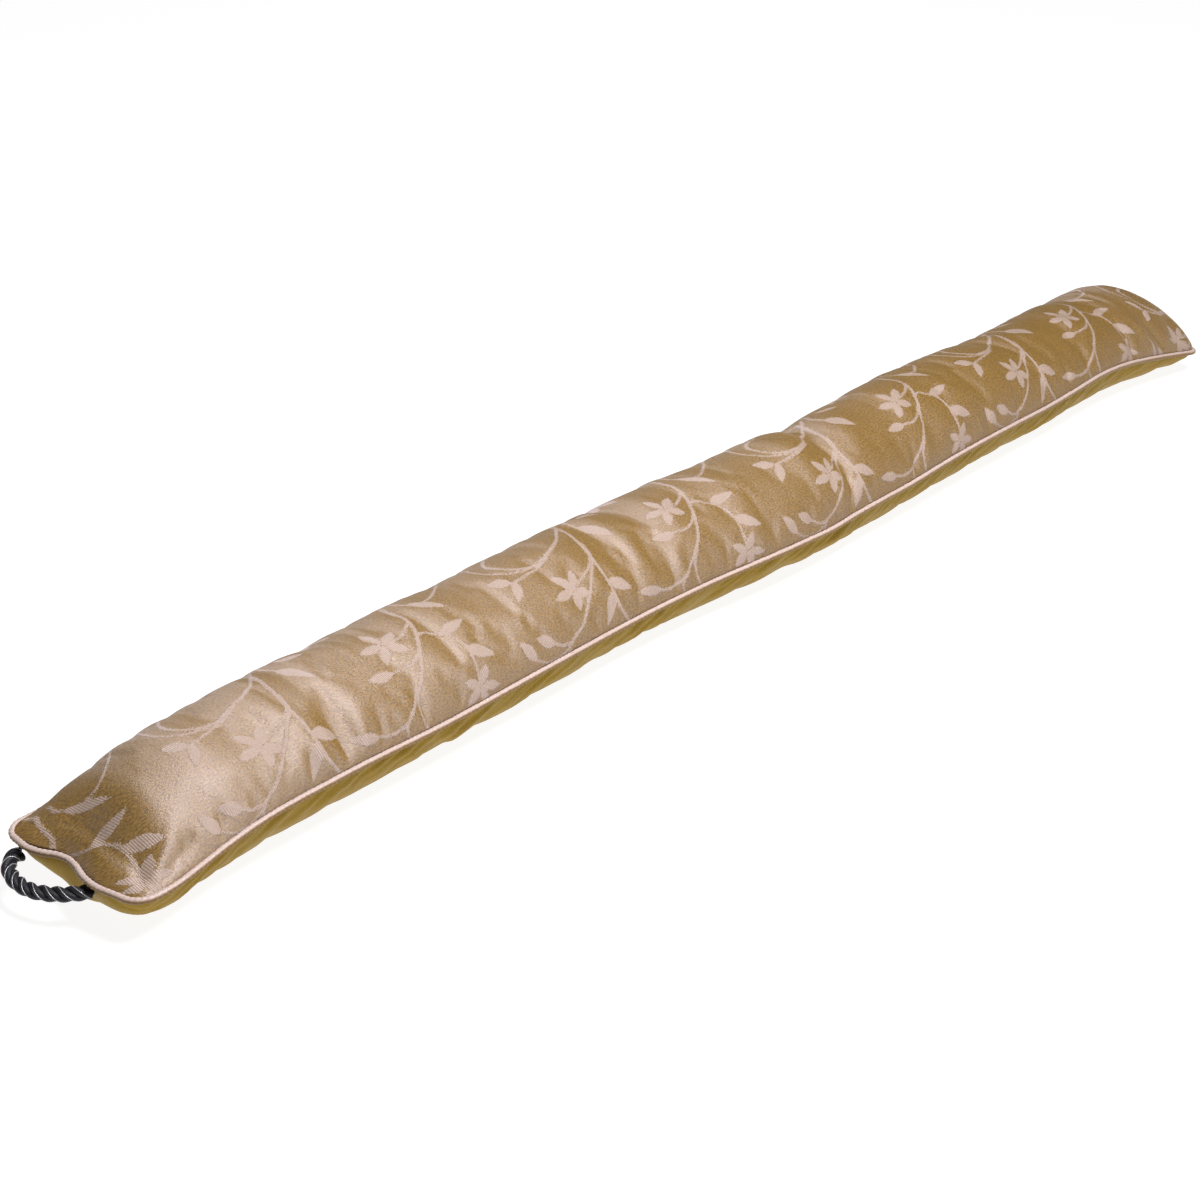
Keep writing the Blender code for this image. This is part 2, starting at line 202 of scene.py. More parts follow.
# Soft rolls and creases of the top panel: where each lies, how far its back end leans along the
# cushion, how wide and how high it is, and where across the panel it is strongest
Fold = namedtuple("Fold", "x lean width height middle spread")
FOLDS = (
    Fold(-0.441, 0.000, 0.010, -0.0058, 0.45, 0.40),
    Fold(-0.424, 0.000, 0.014, 0.0052, 0.35, 0.26),
    Fold(-0.396, -0.004, 0.018, 0.0014, 0.40, 0.36),
    Fold(-0.370, -0.012, 0.012, -0.0012, 0.45, 0.30),
    Fold(-0.342, -0.030, 0.012, 0.0014, 0.30, 0.25),
    Fold(-0.322, -0.012, 0.009, -0.0024, 0.16, 0.18),
    Fold(-0.308, -0.008, 0.010, 0.0014, 0.18, 0.20),
    Fold(-0.276, 0.004, 0.012, -0.0010, 0.20, 0.22),
    Fold(-0.246, 0.000, 0.016, 0.0009, 0.45, 0.35),
    Fold(-0.205, 0.008, 0.014, -0.0009, 0.55, 0.40),
    Fold(-0.148, 0.010, 0.016, 0.0009, 0.40, 0.30),
    Fold(-0.112, 0.006, 0.012, -0.0010, 0.30, 0.30),
    Fold(-0.084, 0.008, 0.010, -0.0016, 0.40, 0.35),
    Fold(-0.066, 0.010, 0.010, 0.0012, 0.30, 0.28),
    Fold(-0.036, 0.000, 0.015, 0.0016, 0.78, 0.22),
    Fold(-0.016, 0.014, 0.011, 0.0012, 0.30, 0.30),
    Fold(0.044, 0.032, 0.015, 0.0022, 0.40, 0.30),
    Fold(0.071, 0.034, 0.011, -0.0030, 0.45, 0.40),
    Fold(0.092, 0.030, 0.012, 0.0016, 0.40, 0.35),
    Fold(0.122, 0.020, 0.011, -0.0014, 0.25, 0.25),
    Fold(0.142, 0.016, 0.012, 0.0012, 0.30, 0.30),
    Fold(0.190, 0.012, 0.011, 0.0012, 0.22, 0.22),
    Fold(0.206, 0.014, 0.010, -0.0014, 0.35, 0.35),
    Fold(0.232, 0.014, 0.010, 0.0013, 0.25, 0.25),
    Fold(0.268, 0.016, 0.012, -0.0014, 0.45, 0.40),
    Fold(0.300, 0.012, 0.013, 0.0010, 0.40, 0.35),
    Fold(0.328, 0.010, 0.010, -0.0012, 0.35, 0.35),
    Fold(0.372, 0.010, 0.012, -0.0010, 0.35, 0.35),
)

# Short creases of the panel: where each starts on the flat cloth, which way it runs in degrees from
# the cushion's length, and how long, wide and high it is
Crease = namedtuple("Crease", "x s turn length width height")
CREASES = (
    Crease(-0.444, 0.006, 62, 0.030, 0.0032, -0.0016),
    Crease(-0.440, 0.004, 40, 0.034, 0.0030, 0.0012),
    Crease(-0.436, 0.004, 24, 0.030, 0.0028, -0.0014),
    Crease(-0.424, 0.003, 55, 0.024, 0.0030, -0.0010),
    Crease(-0.402, 0.002, 70, 0.022, 0.0028, -0.0009),
    Crease(-0.386, 0.002, 80, 0.020, 0.0030, 0.0008),
    Crease(-0.371, 0.002, 98, 0.024, 0.0028, -0.0008),
    Crease(-0.352, 0.002, 78, 0.022, 0.0030, 0.0008),
    Crease(-0.336, 0.003, 104, 0.030, 0.0034, 0.0012),
    Crease(-0.324, 0.002, 96, 0.036, 0.0036, -0.0022),
    Crease(-0.314, 0.002, 84, 0.030, 0.0036, 0.0014),
    Crease(-0.303, 0.002, 80, 0.026, 0.0030, -0.0012),
    Crease(-0.288, 0.002, 92, 0.022, 0.0030, 0.0008),
    Crease(-0.275, 0.002, 88, 0.026, 0.0030, -0.0012),
    Crease(-0.252, 0.002, 76, 0.020, 0.0028, -0.0007),
    Crease(-0.150, 0.002, 95, 0.020, 0.0030, -0.0007),
    Crease(-0.118, 0.002, 82, 0.024, 0.0030, -0.0009),
    Crease(-0.088, 0.002, 86, 0.032, 0.0034, -0.0015),
    Crease(-0.079, 0.002, 90, 0.030, 0.0030, 0.0010),
    Crease(-0.048, 0.002, 84, 0.022, 0.0030, -0.0008),
    Crease(-0.021, 0.002, 92, 0.026, 0.0030, 0.0011),
    Crease(-0.010, 0.002, 88, 0.022, 0.0028, -0.0009),
    Crease(0.020, 0.002, 80, 0.022, 0.0030, -0.0008),
    Crease(0.046, 0.002, 68, 0.040, 0.0036, 0.0014),
    Crease(0.056, 0.002, 66, 0.036, 0.0034, -0.0014),
    Crease(0.080, 0.002, 82, 0.022, 0.0030, -0.0008),
    Crease(0.124, 0.002, 84, 0.028, 0.0032, -0.0013),
    Crease(0.136, 0.002, 80, 0.026, 0.0030, 0.0010),
    Crease(0.166, 0.002, 94, 0.020, 0.0030, -0.0008),
    Crease(0.194, 0.002, 86, 0.028, 0.0032, 0.0011),
    Crease(0.203, 0.002, 84, 0.028, 0.0030, -0.0012),
    Crease(0.238, 0.002, 88, 0.026, 0.0030, -0.0010),
    Crease(0.272, 0.002, 92, 0.026, 0.0032, -0.0011),
    Crease(0.300, 0.002, 84, 0.028, 0.0032, -0.0013),
    Crease(0.327, 0.002, 88, 0.026, 0.0030, -0.0011),
    Crease(0.352, 0.002, 80, 0.020, 0.0028, -0.0008),
    Crease(0.383, 0.002, 96, 0.040, 0.0040, -0.0030),
    Crease(0.402, 0.002, 104, 0.040, 0.0042, 0.0022),
    Crease(0.418, 0.003, 116, 0.036, 0.0036, -0.0024),
    Crease(0.430, 0.004, 128, 0.030, 0.0034, 0.0014),
    Crease(0.440, 0.004, 138, 0.030, 0.0030, -0.0012),
)
# How far along the cushion a crease can reach, how it widens from its start, and where it peaks
CREASE_REACH = 0.05
CREASE_WIDTH_AT_START = 0.7
CREASE_WIDENING = 0.8
CREASE_PEAK_FORWARD = 0.6
CREASE_SHARPNESS = 1.5

# The handle's centre line, point for point as in the solids
HANDLE_ROUTE = (
    (-0.4540, 0.0416, 0.0175),
    (-0.4569, 0.0426, 0.0170),
    (-0.4598, 0.0422, 0.0162),
    (-0.4623, 0.0400, 0.0154),
    (-0.4644, 0.0364, 0.0149),
    (-0.4662, 0.0314, 0.0146),
    (-0.4670, 0.0252, 0.0145),
    (-0.4666, 0.0188, 0.0146),
    (-0.4648, 0.0124, 0.0150),
    (-0.4620, 0.0064, 0.0156),
    (-0.4589, 0.0012, 0.0164),
    (-0.4557, -0.0028, 0.0172),
    (-0.4524, -0.0058, 0.0176),
)

# One repeat of the vine on the flat cloth, charted in millimetres: x runs along the cushion and s up
# from the front seam over the crown to the back seam
REPEAT = 204.2
REPEATS = range(-2, 4)
Stem = namedtuple("Stem", "width points")
Leaf = namedtuple("Leaf", "x s tip_x tip_s width")
STEMS = (
    Stem(2.2, ((-107, 84), (-117, 75), (-128, 66.5), (-139, 60.5), (-150, 56.5), (-160, 55.5),
               (-169, 58.5), (-174.5, 66), (-174, 74), (-167, 82))),
    Stem(2.0, ((-158, 54.5), (-170, 56), (-178, 61), (-182.5, 70), (-181.5, 78), (-178, 84))),
    Stem(2.0, ((-148, 55.5), (-160, 52.5), (-170, 51.5), (-180, 51))),
    Stem(2.3, ((-112, 84), (-117, 72), (-121, 62), (-124, 54), (-127, 46), (-129, 38), (-130, 30),
               (-131, 22), (-131, 12), (-128, 4), (-126, 0))),
    Stem(2.1, ((-123, 54), (-128, 43), (-136, 35.5), (-145, 26), (-155, 16.5), (-164, 9.5),
               (-172, 6.5), (-178, 7.5), (-182, 10.5))),
    Stem(1.8, ((-166, 9), (-172, 4.5), (-174, 0))),
    Stem(1.6, ((-171, 5), (-181, 1.8), (-190, 2.4), (-197, 7))),
    Stem(1.8, ((-127, 45), (-134, 39.5), (-142, 35.5), (-149, 33))),
    Stem(1.8, ((-103, 84), (-107.5, 76), (-108, 68))),
    Stem(2.2, ((-34, 84), (-37, 74), (-38, 64), (-41, 55), (-46, 47), (-53, 37), (-60, 27.5),
               (-67, 20.5), (-75, 13.5), (-82, 9), (-89, 7.5), (-95, 8), (-100, 9.5))),
    Stem(1.9, ((-64, 23), (-69, 16), (-71, 9), (-70, 0))),
    Stem(1.8, ((-79, 11), (-83, 5), (-82, 0))),
    Stem(1.9, ((-40, 59), (-46, 55), (-52, 52.5), (-58, 52))),
    Stem(1.9, ((-49, 42.5), (-56, 37), (-63, 35), (-72, 35.5))),
    Stem(2.0, ((-46, 48), (-41, 49.5), (-36, 45.5), (-31, 40), (-29, 33), (-29.5, 25), (-30.5, 17),
               (-32, 11))),
    Stem(1.8, ((-28, 84), (-29, 77), (-27, 71))),
    Stem(1.8, ((-24, 68), (-15, 69), (-6, 74), (2, 80), (6, 84))),
    Stem(2.0, ((-167, 82), (-156, 88), (-142, 92), (-127, 90.5), (-112, 84))),
    Stem(2.0, ((-178, 84), (-171, 94), (-154, 102), (-132, 105), (-112, 110), (-98, 118))),
    Stem(2.0, ((-34, 84), (-38, 95), (-50, 104), (-70, 108), (-90, 103), (-101, 93), (-103, 84))),
    Stem(1.9, ((6, 84), (14, 92), (20, 102), (22, 111), (20, 118))),
    Stem(1.8, ((-64, 107), (-69, 101), (-71, 95))),
)
LEAVES = (
    Leaf(-180.0, 51.5, -191.0, 58.0, 8.0),
    Leaf(-178.0, 50.5, -187.5, 38.5, 6.4),
    Leaf(-130.0, 27.5, -118.0, 17.5, 8.4),
    Leaf(-131.0, 21.5, -143.0, 4.0, 6.6),
    Leaf(-182.0, 10.0, -192.5, 17.5, 8.0),
    Leaf(-197.0, 6.5, -203.0, 20.5, 7.4),
    Leaf(-108.0, 68.0, -101.0, 50.5, 9.0),
    Leaf(-98.0, 81.0, -86.0, 73.0, 6.4),
    Leaf(-99.0, 9.5, -115.0, 13.5, 6.8),
    Leaf(-71.0, 35.5, -85.5, 36.5, 7.0),
    Leaf(-35.0, 43.5, -16.5, 46.0, 7.2),
    Leaf(-29.5, 30.5, -15.5, 20.5, 8.6),
    Leaf(-28.0, 73.5, -15.5, 57.0, 6.6),
    Leaf(-154.0, 102.0, -147.0, 113.5, 7.4),
    Leaf(-133.0, 104.5, -125.0, 95.5, 7.0),
    Leaf(-90.0, 103.0, -99.0, 111.0, 7.4),
    Leaf(-47.0, 102.0, -38.0, 109.5, 7.6),
    Leaf(14.0, 92.0, 1.0, 98.5, 7.2),
    Leaf(21.5, 105.0, 33.0, 111.5, 7.2),
)
# Each flower's middle, and the tip and the width of each petal
Flower = namedtuple("Flower", "x s petals")
FLOWERS = (
    Flower(-152.5, 31.5, ((-160.5, 43.5, 6.6), (-146.0, 42.0, 6.0), (-146.0, 24.5, 7.4),
                          (-157.5, 19.5, 6.6), (-168.5, 30.0, 6.6))),
    Flower(-61.5, 51.5, ((-63.0, 65.5, 5.4), (-50.0, 59.5, 6.2), (-54.0, 43.5, 7.4),
                         (-70.0, 40.0, 5.8), (-74.5, 52.5, 6.6))),
    Flower(-32.0, 9.0, ((-24.0, 18.5, 6.0), (-41.0, 15.5, 6.0), (-20.0, 5.5, 6.0),
                        (-43.0, 3.0, 6.0), (-30.5, -2.0, 6.0))),
    Flower(-71.5, 91.0, ((-72.0, 104.0, 5.4), (-59.5, 95.5, 6.2), (-64.0, 80.5, 6.6),
                         (-79.5, 80.0, 6.2), (-83.5, 95.0, 6.4))),
)
# Where one repeat's chart starts and ends, a distance that is well outside the vine, the share of the
# charted widths that is built, and where along its length a leaf and a petal is widest
CHART_START = -225
CHART_END = 60
FAR_OUTSIDE = 9.0
STEM_FULLNESS = 0.85
LEAF_FULLNESS = 0.88
LEAF_ROUNDING = 0.9
LEAF_WIDEST = 0.42
PETAL_WIDEST = 0.52

# Colours of the cloths and yarns, with painted shade on the piping's lower side and painted sheen on some
# of the rope's fibres, the tint of the satin's gloss, and the satin's other looks
SATIN_GROUND = (0.268, 0.146, 0.021, 1)
SATIN_GROUND_DARK = (0.100, 0.054, 0.005, 1)
FIGURE_PINK = (0.400, 0.295, 0.245, 1)
FIGURE_RIB = (0.225, 0.145, 0.080, 1)
PLAIN_OLIVE = (0.355, 0.219, 0.020, 1)
PLAIN_OLIVE_DARK = (0.260, 0.156, 0.010, 1)
PIPING_PINK = (0.460, 0.360, 0.325, 1)
# Painted shade: the piping's lower side is mixed toward this brown
PIPING_SHADE = (0.200, 0.108, 0.030, 1)
ROPE_BLACK = (0.006, 0.006, 0.009, 1)
# Painted sheen: a lighter black for random fibres, as if they catch the light
ROPE_BLACK_PAINTED_SHEEN = (0.016, 0.016, 0.022, 1)
SILVER_THREAD = (0.300, 0.300, 0.320, 1)
SILVER_GLINT = (0.450, 0.450, 0.470, 1)
GLOSS_TINT = (1.000, 0.920, 1.000, 1)
FIGURE_EDGE = 0.30
FIGURE_RAGGEDNESS = 2.8
FIGURE_DULLNESS = 0.18
FIGURE_RELIEF = 0.5
RIB_RELIEF = 0.5
GRAIN_RELIEF = 1.5
SATIN_RELIEF_DEPTH = 0.00022
CLOTH_RELIEF_DEPTH = 0.00016
YARN_RELIEF_DEPTH = 0.0002


def smooth_values(positions, xs, values):
    """Values of a smooth curve through the table's points, at each position."""
    xs = np.asarray(xs, float)
    values = np.asarray(values, float)
    slopes = np.gradient(values, xs)
    positions = np.clip(positions, xs[0], xs[-1])
    row = np.clip(np.searchsorted(xs, positions, side="right") - 1, 0, len(xs) - 2)
    step = xs[row + 1] - xs[row]
    t = (positions - xs[row]) / step
    start = (1 + 2 * t) * (1 - t) ** 2 * values[row] + t * (1 - t) ** 2 * step * slopes[row]
    end = t**2 * (3 - 2 * t) * values[row + 1] - t**2 * (1 - t) * step * slopes[row + 1]
    return start + end


def along(x, column):
    """A column of the stations at each x."""
    return smooth_values(x, [s.x for s in STATIONS], [getattr(s, column) for s in STATIONS])


def end_slope(distance, reach, power):
    """Rises from 0 at the end seam to 1 where the cushion is full."""
    left = 1 - np.clip(distance / reach, 0, 1)
    return (1 - left**SLOPE_ROUNDING) ** power


def top_slope(x):
    """The crown's share that is left at each x."""
    distance = HALF_LENGTH - abs(x)
    handle = end_slope(distance, HANDLE_END_SLOPE, HANDLE_END_POWER)
    return np.where(x < 0, handle, end_slope(distance, FAR_END_SLOPE, FAR_END_POWER))


def columns():
    """The grid's places along the cushion, closer together at both ends."""
    ends = np.array(END_COLUMNS)
    inner = HALF_LENGTH - END_COLUMNS[-1]
    count = round(2 * inner / COLUMN_STEP)
    middle = np.linspace(-inner, inner, count + 1)[1:-1]
    return np.concatenate([-HALF_LENGTH + ends, middle, (HALF_LENGTH - ends)[::-1]])


def grid_places(doublings):
    """Each grid point's place along the cushion, and its angle from the front seam to the back seam."""
    x, angle = np.meshgrid(columns(), np.linspace(0, math.pi, GRID_STEPS + 1), indexing="ij")
    return refined(x, doublings), refined(angle, doublings)


def plan(x, angle):
    """The grid at the seam's height: a rectangle with round corners and uneven end seams."""
    distance = HALF_LENGTH - abs(x)
    corner = np.clip(CORNER_RADIUS - distance, 0, CORNER_RADIUS)
    rounding = CORNER_RADIUS - np.sqrt(CORNER_RADIUS**2 - corner**2)
    front, back = along(x, "front"), along(x, "back")
    reach = (back - front) / 2 - PIPING_RADIUS - GAP - rounding
    across = -np.cos(angle)
    handle_end = smooth_values(across, *zip(*HANDLE_END_SEAM))
    far_end = smooth_values(across, *zip(*FAR_END_SEAM))
    out = np.where(x < 0, -handle_end, far_end)
    fade = np.clip(1 - distance / END_SEAM_REACH, 0, 1) ** 2
    inset = np.sign(x) * (PIPING_RADIUS + GAP) * fade
    share = (1 + across) / 2
    seam = along(x, "front_seam") * (1 - share) + along(x, "back_seam") * share
    return x + out * fade - inset, (front + back) / 2 + across * reach, seam


def folds_at(x, angle):
    """How far the folds lift the top panel, at each place of the grid."""
    across = angle / math.pi
    lift = np.zeros_like(x)
    for fold in FOLDS:
        offset = (x - fold.x - fold.lean * (across - fold.middle)) / fold.width
        place = (across - fold.middle) / fold.spread
        lift += fold.height * np.exp(-(offset**2) - place**2)
    return lift * np.sin(angle)


def creases_at(creases, x, s):
    """How far short creases lift the cloth, at each place of the flat cloth."""
    lift = np.zeros_like(x)
    for crease in creases:
        near = np.flatnonzero((abs(x - crease.x) < CREASE_REACH).any(axis=1))
        rows = slice(near[0], near[-1] + 1)
        turn = math.radians(crease.turn)
        right, up = x[rows] - crease.x, s[rows] - crease.s
        forward = right * math.cos(turn) + up * math.sin(turn)
        side = up * math.cos(turn) - right * math.sin(turn)
        share = np.clip(forward / crease.length, 0, 1)
        width = crease.width * (CREASE_WIDTH_AT_START + CREASE_WIDENING * share)
        shape = np.sin(math.pi * share**CREASE_PEAK_FORWARD) ** CREASE_SHARPNESS
        lift[rows] += crease.height * shape * np.exp(-((side / width) ** 2))
    return lift


def slanting_creases(seed):
    """Pulls of the plain cloth, from the seam down to where it meets the floor."""
    random = np.random.default_rng(seed)
    creases = []
    for x in np.arange(-UNDER_CREASES_REACH, UNDER_CREASES_REACH, UNDER_CREASE_STEP):
        shift, turn, length, depth = random.uniform(UNDER_CREASE_LEAST, UNDER_CREASE_MOST)
        creases.append(Crease(x + shift, UNDER_CREASE_START, turn, length, UNDER_CREASE_WIDTH, depth))
    return creases


def plain_cloth_creases(under):
    """How far creases push in the plain cloth along both long seams, at each place of its grid."""
    x = under[..., 0] - PLACE[0]
    down = arc_lengths(under)
    front = creases_at(slanting_creases(UNDER_CREASE_SEED_FRONT), x, down)
    back = creases_at(slanting_creases(UNDER_CREASE_SEED_BACK), -x, down[:, -1:] - down)
    return front + back


def top_surface(x, angle):
    """The grid of the upper side, with its main folds."""
    pinch = 1 + HANDLE_END_PINCH * np.exp(-(HALF_LENGTH + x) / END_FADE)
    rise = (along(x, "rise") - PANEL_THICKNESS - PANEL_LIFT) * top_slope(x)
    plan_x, plan_y, seam = plan(x, angle)
    height = rise * np.sin(angle) ** pinch
    fold = folds_at(x, angle) * top_slope(x)
    plan_y = plan_y - fold * np.cos(angle)
    return np.stack([plan_x, plan_y, seam + height + fold * np.sin(angle)], axis=-1) + PLACE


def under_surface(x, angle):
    """The grid of the under side, flat where it lies on the floor."""
    distance = HALF_LENGTH - abs(x)
    plan_x, plan_y, seam = plan(x, angle)
    drop = (seam + BELLY_BELOW_FLOOR) * end_slope(distance, END_SLOPE_UNDER, END_POWER_UNDER)
    fullness = UNDER_FULLNESS - UNDER_FULLNESS_LOST_AT_ENDS * np.exp(-distance / END_FADE)
    height = seam - drop * np.sin(angle) ** fullness
    middle = np.exp(-(((-np.cos(angle) - END_BELLY_ACROSS) / END_BELLY_SPREAD) ** 2))
    swell = END_BELLY * middle * np.sin(math.pi * np.clip(distance / END_SLOPE_UNDER, 0, 1))
    plan_x = plan_x - np.where(x < 0, swell, 0)
    return np.stack([plan_x, plan_y, np.clip(height, 0, None)], axis=-1) + PLACE


def seam_loop(top):
    """The piping's centre line, once round the cushion's edge and a little outside it."""
    loop = np.concatenate([top[:, 0], top[-1, 1:], top[-2::-1, -1], top[0, -2:0:-1]])
    forward = np.roll(loop, -1, axis=0) - np.roll(loop, 1, axis=0)
    outward = np.stack([forward[:, 1], -forward[:, 0], 0 * forward[:, 0]], axis=-1)
    outward /= np.linalg.norm(outward, axis=1)[:, None]
    return loop + outward * (PIPING_RADIUS + GAP)


def arc_lengths(grid):
    """Each point's distance from the grid's first column, over the surface."""
    step = np.linalg.norm(np.diff(grid, axis=1), axis=-1)
    return np.concatenate([np.zeros_like(step[:, :1]), np.cumsum(step, axis=1)], axis=1)


def normals_of(grid):
    """Unit normals of a grid of points."""
    normal = np.cross(np.gradient(grid, axis=0), np.gradient(grid, axis=1))
    return normal / np.linalg.norm(normal, axis=-1)[..., None]


def twice_as_fine(grid, axis):
    """The grid with a point added between each two neighbours along this axis, on a smooth curve."""
    grid = np.moveaxis(grid, axis, 0)
    padded = np.concatenate([2 * grid[:1] - grid[1:2], grid, 2 * grid[-1:] - grid[-2:-1]])
    between = (9 * (padded[1:-2] + padded[2:-1]) - padded[:-3] - padded[3:]) / 16
    fine = np.empty((2 * len(grid) - 1, *grid.shape[1:]))
    fine[::2] = grid
    fine[1::2] = between
    return np.moveaxis(fine, 0, axis)


def refined(grid, doublings):
    """The grid made twice as fine both ways, this many times."""
    for _ in range(doublings):
        grid = twice_as_fine(twice_as_fine(grid, 0), 1)
    return grid


def smoothed(values, sigma, axis):
    """A Gaussian blur along one axis of a grid, in grid steps."""
    reach = int(3 * sigma)
    weights = np.exp(-0.5 * (np.arange(-reach, reach + 1) / sigma) ** 2)
    weights /= weights.sum()
    values = np.moveaxis(values, axis, 0)
    padded = np.concatenate([values[:1].repeat(reach, 0), values, values[-1:].repeat(reach, 0)])
    blurred = sum(w * padded[k : k + len(values)] for k, w in enumerate(weights))
    return np.moveaxis(blurred, 0, axis)


def grid_faces(rows, steps, first, turned):
    """Quads between neighbouring points of a grid whose points are numbered by first(row, step)."""
    row, step = np.meshgrid(np.arange(rows - 1), np.arange(steps - 1), indexing="ij")
    quads = [first(row, step), first(row + 1, step), first(row + 1, step + 1), first(row, step + 1)]
    faces = np.stack(quads, axis=-1).reshape(-1, 4)
    return faces[:, ::-1] if turned else faces


def closed_mesh(name, top, under):
    """One closed mesh of both sides, which share the seam's points; and the under side's numbering."""
    rows, steps = top.shape[:2]
    numbers = np.arange(rows * steps).reshape(rows, steps)
    inner = under[1:-1, 1:-1].reshape(-1, 3)
    numbers[1:-1, 1:-1] = rows * steps + np.arange(len(inner)).reshape(rows - 2, steps - 2)
    top_faces = grid_faces(rows, steps, lambda row, step: row * steps + step, False)
    under_faces = grid_faces(rows, steps, lambda row, step: numbers[row, step], True)
    points = np.concatenate([top.reshape(-1, 3), inner])
    return new_mesh(name, points, np.concatenate([top_faces, under_faces]).tolist()), numbers


def uneven_start(points):
    """Small seeded waves that let the cloth buckle where it likes."""
    random = np.random.default_rng(UNEVEN_SEED)
    lift = np.zeros(len(points))
    for _ in range(UNEVEN_WAVES):
        length, phase, lean = random.uniform(UNEVEN_LEAST, UNEVEN_MOST)
        wave = np.sin(2 * math.pi * points[:, 0] / length + phase + lean * points[:, 1])
        lift += UNEVEN_HEIGHT * wave
    start = points.copy()
    start[:, 2] += lift
    return start


def sew_and_fill(cloth, numbers):
    """Holds the cloth's sewn edge, lets it grow, and puts pressure in it."""
    edge = np.concatenate([numbers[:, 0], numbers[:, -1], numbers[0], numbers[-1]])
    cloth.vertex_groups.new(name="sewn_edge").add(edge.tolist(), 1.0, "REPLACE")
    modifier = cloth.modifiers.new("cloth", "CLOTH")
    modifier.point_cache.frame_start = 1
    modifier.point_cache.frame_end = CLOTH_FRAMES
    settings = modifier.settings
    settings.quality = CLOTH_QUALITY
    settings.vertex_group_mass = "sewn_edge"
    settings.shrink_min = -CLOTH_LARGER
    settings.use_pressure = True
    settings.uniform_pressure_force = CLOTH_PRESSURE
    settings.effector_weights.gravity = 0
    settings.bending_stiffness = CLOTH_BENDING
    settings.tension_damping = CLOTH_DAMPING
    settings.compression_damping = CLOTH_DAMPING


def simulated(top, under):
    """How far each point of both sides moves when the filling pushes the sewn cloth out."""
    scene = bpy.context.scene
    mesh, numbers = closed_mesh("filled_cloth", top, under)
    cloth = bpy.data.objects.new("filled_cloth", mesh)
    scene.collection.objects.link(cloth)
    start = points_of(mesh)
    mesh.vertices.foreach_set("co", uneven_start(start).astype(np.float32).ravel())
    sew_and_fill(cloth, numbers)
    for number in range(1, CLOTH_FRAMES + 1):
        scene.frame_set(number)
    graph = bpy.context.evaluated_depsgraph_get()
    moved = points_of(cloth.evaluated_get(graph).data) - start
    scene.frame_set(1)
    bpy.data.objects.remove(cloth)
    far = np.linalg.norm(moved, axis=1)[:, None]
    moved *= np.minimum(1, CLOTH_MOST_MOVE / np.maximum(far, 1e-9))
    rows, steps = top.shape[:2]
    return moved[: rows * steps].reshape(top.shape), moved[numbers]


def points_of(mesh):
    """A mesh's points as an array."""
    points = np.empty(len(mesh.vertices) * 3, np.float32)
    mesh.vertices.foreach_get("co", points)
    return points.reshape(-1, 3).astype(float)


def fade_at_ends(count, steps):
    """For a row of this many points, rises from 0 at both its ends to 1 this many steps in."""
    places = np.arange(count)
    return np.minimum(1, places / steps) * np.minimum(1, places[::-1] / steps)


def wrinkles_of(moved, grid):
    """The short waves of a cloth's movement, out of its surface; the long ones would change its size."""
    lift = (moved * normals_of(grid)).sum(axis=-1)
    broad = smoothed(smoothed(lift, BROAD_ALONG / COLUMN_STEP, 0), BROAD_ACROSS, 1)
    rows, steps = lift.shape
    return (lift - broad) * fade_at_ends(steps, FADE_AT_SIDES) * fade_at_ends(rows, FADE_AT_ENDS)[:, None]


def filled_sides():
    """Both sides on the shown grid, with the wrinkles that the simulation finds."""
    places = grid_places(SHOWN_DOUBLINGS)
    top, under = top_surface(*places), under_surface(*places)
    coarse = grid_places(0)
    coarse_top, coarse_under = top_surface(*coarse), under_surface(*coarse)
    moved_top, moved_under = simulated(coarse_top, coarse_under)
    lift_top = refined(wrinkles_of(moved_top, coarse_top), SHOWN_DOUBLINGS) * TOP_WRINKLES
    lift_top += creases_at(CREASES, top[..., 0] - PLACE[0], arc_lengths(top))
    lift_under = refined(wrinkles_of(moved_under, coarse_under), SHOWN_DOUBLINGS) * UNDER_WRINKLES
    lift_under += plain_cloth_creases(under)
    top = top + normals_of(top) * lift_top[..., None]
    under = under + normals_of(under) * lift_under[..., None]
    under[..., 2] = np.clip(under[..., 2], 0, None)
    return top, under


def new_mesh(name, points, faces):
    """A smooth-shaded mesh of an array of points and a list of faces."""
    mesh = bpy.data.meshes.new(name)
    mesh.from_pydata(points.tolist(), [], faces)
    mesh.shade_smooth()
    return mesh


def new_object(name, data, material):
    """An object of this data in the scene, with its material."""
    obj = bpy.data.objects.new(name, data)
    bpy.context.scene.collection.objects.link(obj)
    obj.data.materials.append(material)
    return obj


def placed_facing(name, data, place, direction):
    """A camera or light at this place that looks along this direction."""
    obj = bpy.data.objects.new(name, data)
    bpy.context.scene.collection.objects.link(obj)
    obj.location = place
    obj.rotation_mode = "QUATERNION"
    obj.rotation_quaternion = Vector(direction).to_track_quat("-Z", "Y")
    return obj


def make_camera():
    """The photograph's camera."""
    data = bpy.data.cameras.new("camera")
    data.lens = CAMERA_LENS
    data.sensor_width = CAMERA_SENSOR
    bpy.context.scene.camera = placed_facing("camera", data, CAMERA_AT, CAMERA_LOOKS_ALONG)


def make_light(light):
    """A square soft box at its direction from the cushion's middle, facing it."""
    data = bpy.data.lights.new(light.name, "AREA")
    data.size = light.size
    data.energy = light.power
    toward = Vector(light.direction).normalized()
    placed_facing(light.name, data, toward * light.distance, -toward)


def make_lights():
    """The surround and the studio lights."""
    world = bpy.data.worlds.new("surround")
    world.use_nodes = True
    background = world.node_tree.nodes["Background"]
    background.inputs["Color"].default_value = WHITE
    background.inputs["Strength"].default_value = SURROUND_STRENGTH
    bpy.context.scene.world = world
    for light in LIGHTS:
        make_light(light)


